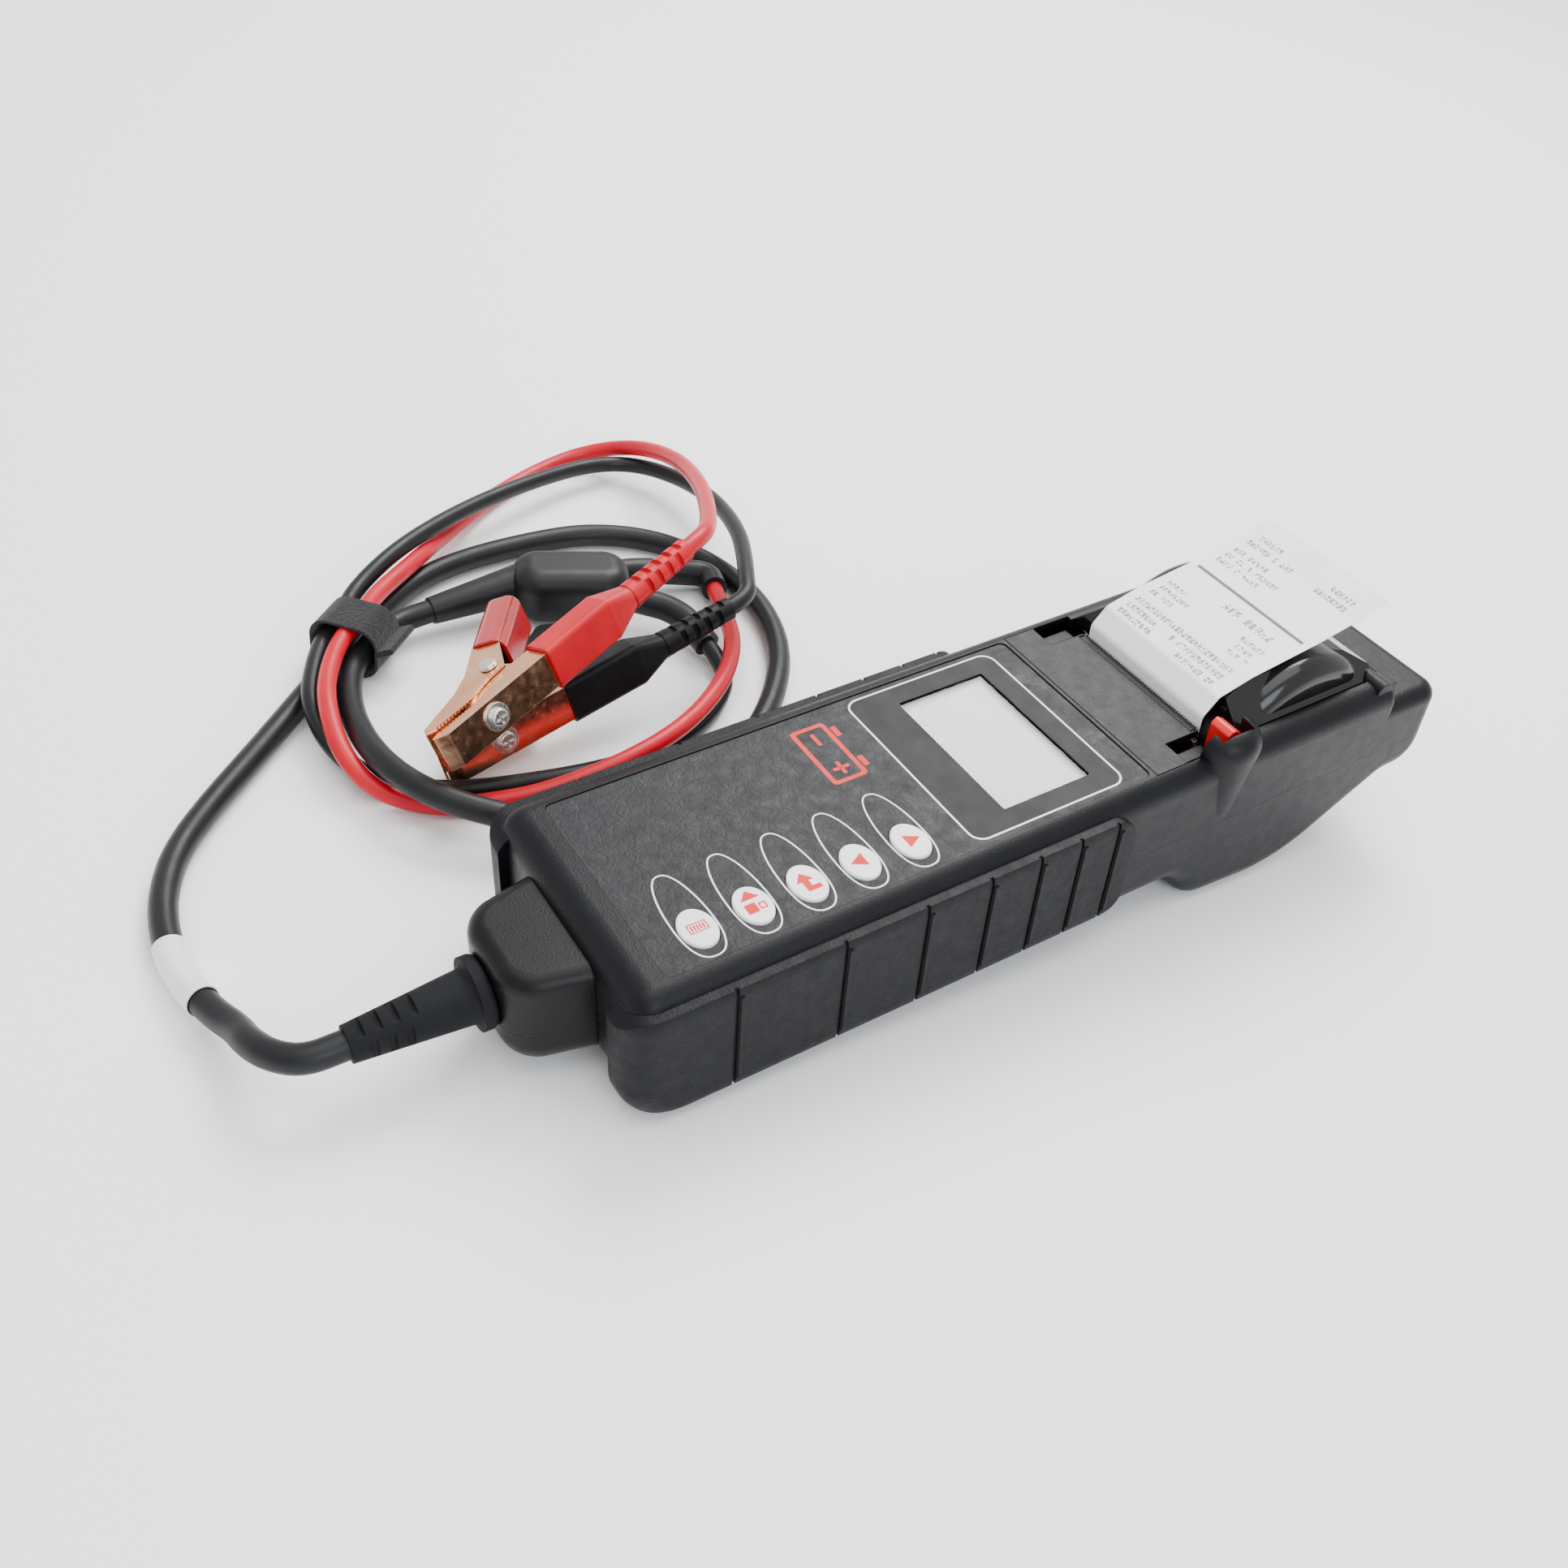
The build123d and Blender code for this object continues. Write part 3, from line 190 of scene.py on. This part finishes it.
ink_red = surface("ink_red", [(0.62, 0.01, 0.006), (0.72, 0.02, 0.01)], (0.4, 0.52), edge=0.0, specular=0.2)
ink_dark = surface("ink_dark", [(0.003, 0.003, 0.0035), (0.006, 0.006, 0.007)], (0.3, 0.4),
                   grain=[(160, 0.00002)], edge=0.0, patch=30, specular=0.1)
ink_print = surface("ink_print", [(0.06, 0.06, 0.075), (0.13, 0.13, 0.15)], (0.55, 0.65), edge=0.0, patch=900)


def film_material():
    """Printed keypad film: dark grey with fine creases."""
    material, tree, shader = new_material("panel_film")
    coords = tree.nodes.new("ShaderNodeTexCoord")
    creases = tree.nodes.new("ShaderNodeTexVoronoi")
    creases.feature = "DISTANCE_TO_EDGE"
    creases.inputs["Scale"].default_value = 240
    bend = tree.nodes.new("ShaderNodeTexNoise")
    bend.inputs["Scale"].default_value = 160
    bend.inputs["Detail"].default_value = 6
    mixer = tree.nodes.new("ShaderNodeMixRGB")
    mixer.inputs["Fac"].default_value = 0.012
    tree.links.new(coords.outputs["Object"], bend.inputs["Vector"])
    tree.links.new(coords.outputs["Object"], mixer.inputs["Color1"])
    tree.links.new(bend.outputs["Color"], mixer.inputs["Color2"])
    tree.links.new(mixer.outputs["Color"], creases.inputs["Vector"])
    edges = ramp(tree, creases.outputs["Distance"], [(0.0, (0.0, 0.0, 0.0)), (0.16, (1.0, 1.0, 1.0))])
    greys = [(0.3, (0.008, 0.0083, 0.0095)), (0.7, (0.015, 0.0153, 0.017))]
    tone = ramp(tree, noise(tree, 420, 5.0, 0.6), greys)
    shader.inputs["Specular IOR Level"].default_value = 0.22
    tree.links.new(tone, shader.inputs["Base Color"])
    tree.links.new(span(tree, noise(tree, 200, 6.0), 0.4, 0.56), shader.inputs["Roughness"])
    relief = tree.nodes.new("ShaderNodeBump")
    relief.inputs["Distance"].default_value = 0.00005
    tree.links.new(edges, relief.inputs["Height"])
    fine = tree.nodes.new("ShaderNodeBump")
    fine.inputs["Distance"].default_value = 0.00006
    tree.links.new(noise(tree, 900, 4.0), fine.inputs["Height"])
    tree.links.new(relief.outputs["Normal"], fine.inputs["Normal"])
    tree.links.new(fine.outputs["Normal"], shader.inputs["Normal"])
    return material


def screen_material():
    """Grey-green display with a faint oily tint."""
    material, tree, shader = new_material("lcd_glass")
    swirl = noise(tree, 28, 3.0, 0.5, 1.5)
    tint = ramp(tree, swirl, [(0.3, (0.5, 0.53, 0.46)), (0.45, (0.52, 0.5, 0.5)), (0.55, (0.47, 0.53, 0.5)),
                              (0.7, (0.53, 0.52, 0.45))])
    tree.links.new(tint, shader.inputs["Base Color"])
    tree.links.new(span(tree, noise(tree, 300, 4.0), 0.25, 0.32), shader.inputs["Roughness"])
    return material


def clear_material():
    """Thin clear plastic over the display."""
    material, tree, shader = new_material("clear_plastic")
    shader.inputs["Base Color"].default_value = (0.97, 0.98, 0.96, 1)
    shader.inputs["Transmission Weight"].default_value = 1.0
    shader.inputs["IOR"].default_value = 1.3
    tree.links.new(span(tree, noise(tree, 500, 6.0), 0.01, 0.05), shader.inputs["Roughness"])
    return material


panel_film = film_material()
lcd_glass = screen_material()
clear_plastic = clear_material()

finishes = {
    case_plastic: ["top_case", "bottom_case", "printer_cover", "printer_frame", "battery_door", "tear_blade"],
    hood_plastic: ["hood_top", "hood_bottom"],
    grip_rubber: ["grip_left", "grip_right"],
    door_plastic: ["printer_door"],
    panel_film: ["keypad_overlay"],
    clear_plastic: ["lcd_window"],
    lcd_glass: ["lcd_module"],
    key_silicone: ["key_mat"],
    board_laminate: ["main_board"],
    key_white: ["key_menu", "key_back", "key_enter", "key_down", "key_up"],
    lever_red: ["release_lever"],
    steel: ["case_screws", "print_head", "stepper_motor", "hinge_pin", "lever_pin",
            "battery_contacts", "red_spring", "black_spring"],
    zinc: ["red_pivot", "black_pivot", "red_screw", "black_screw"],
    paper: ["paper_roll", "receipt"],
    platen_rubber: ["platen_roller"],
    gear_plastic: ["motor_gear", "platen_gear"],
    cell_jacket: ["aa_cells"],
    copper: ["red_fixed_jaw", "red_moving_jaw", "black_fixed_jaw", "black_moving_jaw"],
    vinyl_red: ["red_boot"],
    vinyl_black: ["black_boot", "black_handle_cap"],
    cap_red: ["red_handle_cap"],
    cable_black: ["main_cable", "black_lead", "y_splitter"],
    sleeve_rubber: ["strain_relief"],
    cable_red: ["red_lead"],
    tie_fabric: ["cable_tie"],
    label_film: ["cable_label"],
}
for finish, nodes in finishes.items():
    for node in nodes:
        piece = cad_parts[node]
        piece.data.materials.clear()
        piece.data.materials.append(finish)

# ---------------------------------------------------------------- camera, light and floor
camera = bpy.data.objects.new("camera", bpy.data.cameras.new("camera"))
bpy.context.scene.collection.objects.link(camera)
CAMERA_PLACE = (0.2987, -0.2855, 0.3809)
right = Vector((0.5238, 0.8433, 0.1173))
up = Vector((-0.5932, 0.2625, 0.7610))
back = Vector((0.6112, -0.4683, 0.6380))
turn = Matrix((right, up, back)).transposed().to_4x4()
camera.matrix_world = Matrix.Translation(CAMERA_PLACE) @ turn
camera.data.lens = 37.45
camera.data.sensor_width = 36.0
camera.data.clip_start = 0.01
bpy.context.scene.camera = camera

# the floor lies a little under the table's plane
FLOOR_Z = -0.0004
bpy.ops.mesh.primitive_plane_add(size=12.0, location=(0, 0, FLOOR_Z))
floor = bpy.context.object
floor.name = "floor"
floor_material, floor_tree, floor_shader = new_material("floor")
floor_shader.inputs["Base Color"].default_value = (0.94, 0.94, 0.94, 1)
floor_shader.inputs["Roughness"].default_value = 0.55
floor.data.materials.append(floor_material)

world = bpy.data.worlds.new("studio")
world.use_nodes = True
world.node_tree.nodes["Background"].inputs["Color"].default_value = (1.0, 1.0, 1.0, 1)
world.node_tree.nodes["Background"].inputs["Strength"].default_value = 1.15
bpy.context.scene.world = world


def area_light(name, place, aim, size, power, colour=(1, 1, 1)):
    data = bpy.data.lights.new(name, "AREA")
    data.shape = "RECTANGLE"
    data.size, data.size_y = size
    data.energy = power
    data.color = colour
    light = bpy.data.objects.new(name, data)
    bpy.context.scene.collection.objects.link(light)
    light.location = place
    light.rotation_euler = (Vector(aim) - Vector(place)).to_track_quat("-Z", "Y").to_euler()


area_light("key_light", (-0.9, 0.9, 1.5), (0, 0, 0), (1.0, 1.0), 46)
area_light("fill_light", (1.3, -0.2, 0.9), (0, 0, 0.02), (0.8, 0.8), 12, (0.85, 0.92, 1.0))
area_light("top_light", (0.0, 0.0, 1.8), (0, 0, 0), (1.6, 1.6), 24)

# ---------------------------------------------------------------- free cords
MAIN_ROUTE = [
    (0, -78.1, 21.25), (-0.2, -89.5, 20.2), (-6.5, -96.5, 18.6), (-16.7, -100.4, 15.8),
    (-26.2, -100.8, 12.2), (-37.5, -104.4, 9.4), (-50.3, -107, 7.2), (-63.9, -108.2, 5.8),
    (-79.9, -107.1, 5.4), (-96.3, -102.6, 5.2), (-113.1, -93.7, 5), (-129, -79.3, 5),
    (-149, -57.5, 5), (-171.5, -33.4, 5.2), (-197.3, -5.7, 6.3), (-214.9, 12.9, 5.2),
    (-231.1, 35.1, 5), (-238.4, 56.9, 5), (-241, 86, 5), (-239.3, 116.9, 5), (-224.1, 141.8, 5),
    (-197.8, 156.4, 5), (-165.6, 159.9, 5), (-133.1, 150.4, 5), (-105.4, 129.5, 5),
    (-85.3, 105.4, 5), (-73.4, 79.1, 5), (-68.7, 52.5, 5), (-67.8, 30, 7.4), (-71.3, 13.4, 12.6),
    (-79.4, -0.6, 15.8), (-91.9, -13.1, 17.2), (-108, -20.6, 17), (-128.2, -23.4, 15.6),
    (-155.6, -19.6, 10.6), (-178.6, -11.5, 9.4), (-192.8, 2.4, 9.8), (-198.4, 11.2, 9.4),
    (-202.4, 20.2, 9.1), (-202.6, 30.5, 10),
]
RED_ROUTE = [
    (-178, 144.8, 7.5), (-154.8, 137.2, 9.4), (-136.2, 129.1, 11.4), (-118.6, 115.4, 12.4),
    (-104.5, 97.8, 12.6), (-94.5, 79, 12.8), (-89.5, 58.7, 11.6), (-89.2, 39.6, 8.8),
    (-91.7, 23.2, 5.6), (-95.8, 9.8, 3.8), (-99.2, -4.8, 3.8), (-106.6, -16.4, 3.8),
    (-114.9, -27.5, 8), (-130.9, -32, 13), (-148.9, -29.7, 18), (-166.3, -24.1, 17.8),
    (-187.2, -11.4, 17.6), (-199.3, 1.9, 17.2), (-211.8, 11.1, 16), (-230.4, 33.9, 14.2),
    (-260.7, 62.8, 5.6), (-281, 89, 3.8), (-293.2, 112.8, 3.8), (-299.6, 134.6, 5),
    (-297.8, 146.6, 7.6), (-291.1, 155.7, 11.6), (-278.4, 161.8, 17.4), (-258.7, 163.8, 24.4),
    (-232.8, 159.9, 32.5), (-202.1, 149.1, 41.5), (-173.9, 135.2, 49.6), (-156.6, 124.8, 54.4),
    (-147.4, 117, 57.2),
    (-143.567, 107.176, 55.419),
]
BLACK_ROUTE = [
    (-145, 122.5, 7), (-133.8, 123.7, 4.6), (-120, 116.5, 3.8), (-106.3, 99.7, 3.8),
    (-98.6, 80.2, 3.8), (-96.3, 60.6, 3.8), (-97.5, 42.8, 3.8), (-100.3, 26.2, 3.8),
    (-103.4, 11.1, 3.8), (-108.1, -3, 3.8), (-115.7, -15.7, 3.8), (-128.6, -26.4, 3.8),
    (-145.4, -31.8, 6.2), (-158.9, -32.4, 12.6), (-172.4, -27.9, 14), (-194.7, -15.5, 14.2),
    (-205.1, -3.3, 14.2), (-218, 4, 14.4), (-233.3, 25, 17.6), (-247.4, 47.9, 17.4),
    (-261.5, 74.2, 15.4), (-272.2, 100.3, 13.4), (-281.1, 125.4, 10.6), (-284.4, 141.4, 9),
    (-282.8, 154.4, 8.2), (-274.7, 164, 9), (-259.9, 169.7, 11.4), (-239.6, 171.3, 15.6),
    (-213.5, 167.7, 21.4), (-183.6, 157.9, 28), (-160.4, 146.2, 32), (-145, 137.6, 33.8),
    (-134.8, 132.2, 33.6),
    (-133.188, 122.828, 31.871),
]


def cord(name, points, diameter, finish):
    curve = bpy.data.curves.new(name, "CURVE")
    curve.dimensions = "3D"
    curve.resolution_u = 10
    curve.bevel_depth = diameter / 2 * MM
    curve.bevel_resolution = 8
    curve.use_fill_caps = True
    spline = curve.splines.new("NURBS")
    spline.points.add(len(points) - 1)
    for knot, point in zip(spline.points, points):
        knot.co = (*on_table(*point), 1.0)
    spline.order_u = 3
    spline.use_endpoint_u = True
    curve.materials.append(finish)
    tube = bpy.data.objects.new(name, curve)
    bpy.context.scene.collection.objects.link(tube)
    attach(tube, "tester")
    return tube


main_jacket = cord("main_cable_jacket", [(0, -72.0, 21.8)] + MAIN_ROUTE, 9.2, cable_black)
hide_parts("main_cable")
red_jacket = cord("red_lead_jacket", RED_ROUTE, 6.8, cable_red)
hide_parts("red_lead")
black_jacket = cord("black_lead_jacket", BLACK_ROUTE, 6.8, cable_black)
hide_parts("black_lead")

# ---------------------------------------------------------------- printing on the keypad
def flat_shape(name, loops, height, finish, body):
    """Closed outlines in the tester's frame, filled between them, at that height over the keypad's face."""
    curve = bpy.data.curves.new(name, "CURVE")
    curve.dimensions = "2D"
    curve.fill_mode = "BOTH"
    curve.extrude = 0.01 * MM
    for loop in loops:
        spline = curve.splines.new("POLY")
        spline.points.add(len(loop) - 1)
        for knot, (x, y) in zip(spline.points, loop):
            knot.co = (x * MM, y * MM, 0.0, 1.0)
        spline.use_cyclic_u = True
    curve.materials.append(finish)
    shape = bpy.data.objects.new(name, curve)
    bpy.context.scene.collection.objects.link(shape)
    shape.matrix_world = TESTER @ Matrix.Translation((0, 0, height * MM))
    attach(shape, body)


def rounded(x0, y0, x1, y1, radius, steps=8):
    loop = []
    corners = [(x1 - radius, y1 - radius, 0), (x0 + radius, y1 - radius, 90), (x0 + radius, y0 + radius, 180),
               (x1 - radius, y0 + radius, 270)]
    for x, y, start in corners:
        for step in range(steps + 1):
            angle = math.radians(start + 90 * step / steps)
            loop.append((x + radius * math.cos(angle), y + radius * math.sin(angle)))
    return loop


def egg(x, y, inset):
    """Outline round a key: widest at the key and narrower towards the far side."""
    loop = []
    for step in range(72):
        angle = math.tau * step / 72
        side = math.copysign(abs(math.sin(angle)) ** 0.82, math.sin(angle))
        reach = math.copysign(abs(math.cos(angle)) ** 0.9, math.cos(angle))
        loop.append((x - 6.3 + (17.8 - inset) * reach, y + (6.6 + 1.1 * math.cos(angle) - inset) * side))
    return loop


BORDER_HEIGHT = 0.02
PRINT_HEIGHT = 0.03
KEY_X = 27.1
KEY_TOP = 0.9
KEY_ROWS = {"menu": 16.5, "back": 35.0, "enter": 53.5, "down": 72.0, "up": 90.5}
LINE_WIDTH = 0.55

# display window: a white line, a dark border inside it, and the opening
line_outside = rounded(-37.6, 107.9, 37.6, 168.1, 5.1)
line_inside = rounded(-36.9, 108.6, 36.9, 167.4, 4.4)
opening = rounded(-29.5, 124.5, 29.5, 159.5, 1.0)
flat_shape("window_border", [line_inside, opening], BORDER_HEIGHT, ink_dark, "tester")
flat_shape("window_line", [line_outside, line_inside], PRINT_HEIGHT, ink_white, "tester")

egg_lines = []
for row in KEY_ROWS.values():
    egg_lines += [egg(KEY_X, row, 0.0), egg(KEY_X, row, LINE_WIDTH)]
flat_shape("key_lines", egg_lines, PRINT_HEIGHT, ink_white, "tester")

icons = {
    "menu": [rounded(-1.9, -3.1, 1.9, 3.1, 0.3), rounded(-1.5, -2.7, 1.5, 2.7, 0.2)]
    + [rounded(-1.1, -2.2 + 0.95 * bar, 1.1, -1.65 + 0.95 * bar, 0.1) for bar in range(5)],
    "back": [[(-2.2, -3.0), (-5.8, 0.1), (-2.2, 3.2)], rounded(-0.6, -3.1, 3.2, 0.5, 0.15),
             rounded(0.2, 1.1, 2.8, 3.5, 0.15), rounded(0.7, 1.6, 2.3, 3.0, 0.1)],
    "enter": [[(-4.2, -0.6), (-0.6, 2.4), (-0.6, 0.6), (1.8, 0.6), (1.8, 3.2), (3.6, 3.2), (3.6, -1.6),
               (-0.6, -1.6), (-0.6, -3.4)]],
    "down": [[(-2.8, 1.7), (2.8, 1.7), (0.0, -3.3)]],
    "up": [[(-2.8, -1.7), (2.8, -1.7), (0.0, 3.3)]],
}
for key, loops in icons.items():
    placed = [[(KEY_X + x, KEY_ROWS[key] + y) for x, y in loop] for loop in loops]
    flat_shape("icon_" + key, placed, KEY_TOP + PRINT_HEIGHT, ink_red, "press_" + key)

# plain battery sign: case, two terminals, plus and minus
battery_sign = [
    rounded(-33.0, 84.0, -5.0, 97.0, 1.6), rounded(-31.4, 85.6, -6.6, 95.4, 0.8),
    rounded(-29.6, 97.6, -24.6, 99.6, 0.4), rounded(-13.4, 97.6, -8.4, 99.6, 0.4),
    rounded(-29.4, 89.8, -23.4, 91.2, 0.2), rounded(-14.4, 89.8, -8.4, 91.2, 0.2),
]
flat_shape("battery_sign", battery_sign, PRINT_HEIGHT, ink_red, "tester")
flat_shape("battery_plus", [rounded(-12.1, 87.5, -10.7, 93.5, 0.2)], PRINT_HEIGHT, ink_red, "tester")

# ---------------------------------------------------------------- printing on the receipt
def receipt_print(name, marks, finish):
    """Small printed rectangles, dropped on the receipt's upper face."""
    mesh = bpy.data.meshes.new(name)
    verts = []
    faces = []
    for x0, y0, x1, y1 in marks:
        first = len(verts)
        verts += [(x0 * MM, y0 * MM, 0), (x1 * MM, y0 * MM, 0), (x1 * MM, y1 * MM, 0), (x0 * MM, y1 * MM, 0)]
        faces.append((first, first + 1, first + 2, first + 3))
    mesh.from_pydata(verts, [], faces)
    mesh.materials.append(finish)
    marks_piece = bpy.data.objects.new(name, mesh)
    bpy.context.scene.collection.objects.link(marks_piece)
    marks_piece.matrix_world = TESTER @ Matrix.Translation((0, 0, 60 * MM))
    drop = marks_piece.modifiers.new("drop", "SHRINKWRAP")
    drop.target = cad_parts["receipt"]
    drop.wrap_method = "PROJECT"
    drop.use_project_z = True
    drop.use_negative_direction = True
    drop.use_positive_direction = False
    drop.offset = 0.04 * MM
    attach(marks_piece, "tester")


SIGN_PITCH = 1.85


def dotted(x, y, size, count, picker):
    """Dotted signs that stand for printed text, each a scatter of dots in a cell of three by five."""
    dots = []
    for place in range(count):
        if picker.random() < 0.1:
            continue
        left = x + place * SIGN_PITCH * size
        for column in range(3):
            for line in range(5):
                if picker.random() < 0.62:
                    px = left + column * 0.47 * size
                    py = y + line * 0.47 * size
                    dots.append((px, py, px + 0.4 * size, py + 0.36 * size))
    return dots


PRINT_LEFT = -25.0
PRINT_RIGHT = 23.0
# each line: its place along the receipt, then how many signs stand at the left and at the right
PRINT_LINES = [
    (213.5, 9, 10), (217.5, 8, 14), (221.5, 12, 15), (227.5, 6, 5), (231.5, 8, 5), (235.5, 5, 6),
    (258.0, 11, 0), (262.0, 14, 0), (266.0, 9, 0), (272.0, 12, 8), (276.0, 7, 6),
]
picker = random.Random(7)
small_print = []
for y, left_count, right_count in PRINT_LINES:
    small_print += dotted(PRINT_LEFT, y, 1.0, left_count, picker)
    small_print += dotted(PRINT_RIGHT - right_count * SIGN_PITCH, y, 1.0, right_count, picker)
small_print += dotted(-9.0, 242.0, 1.4, 11, picker)
receipt_print("receipt_signs", small_print, ink_print)
bar = [(x, 250.2, x + 2.0, 251.6) for x in range(-26, 26, 2)]
receipt_print("receipt_bar", bar, ink_print)

bpy.context.view_layer.update()
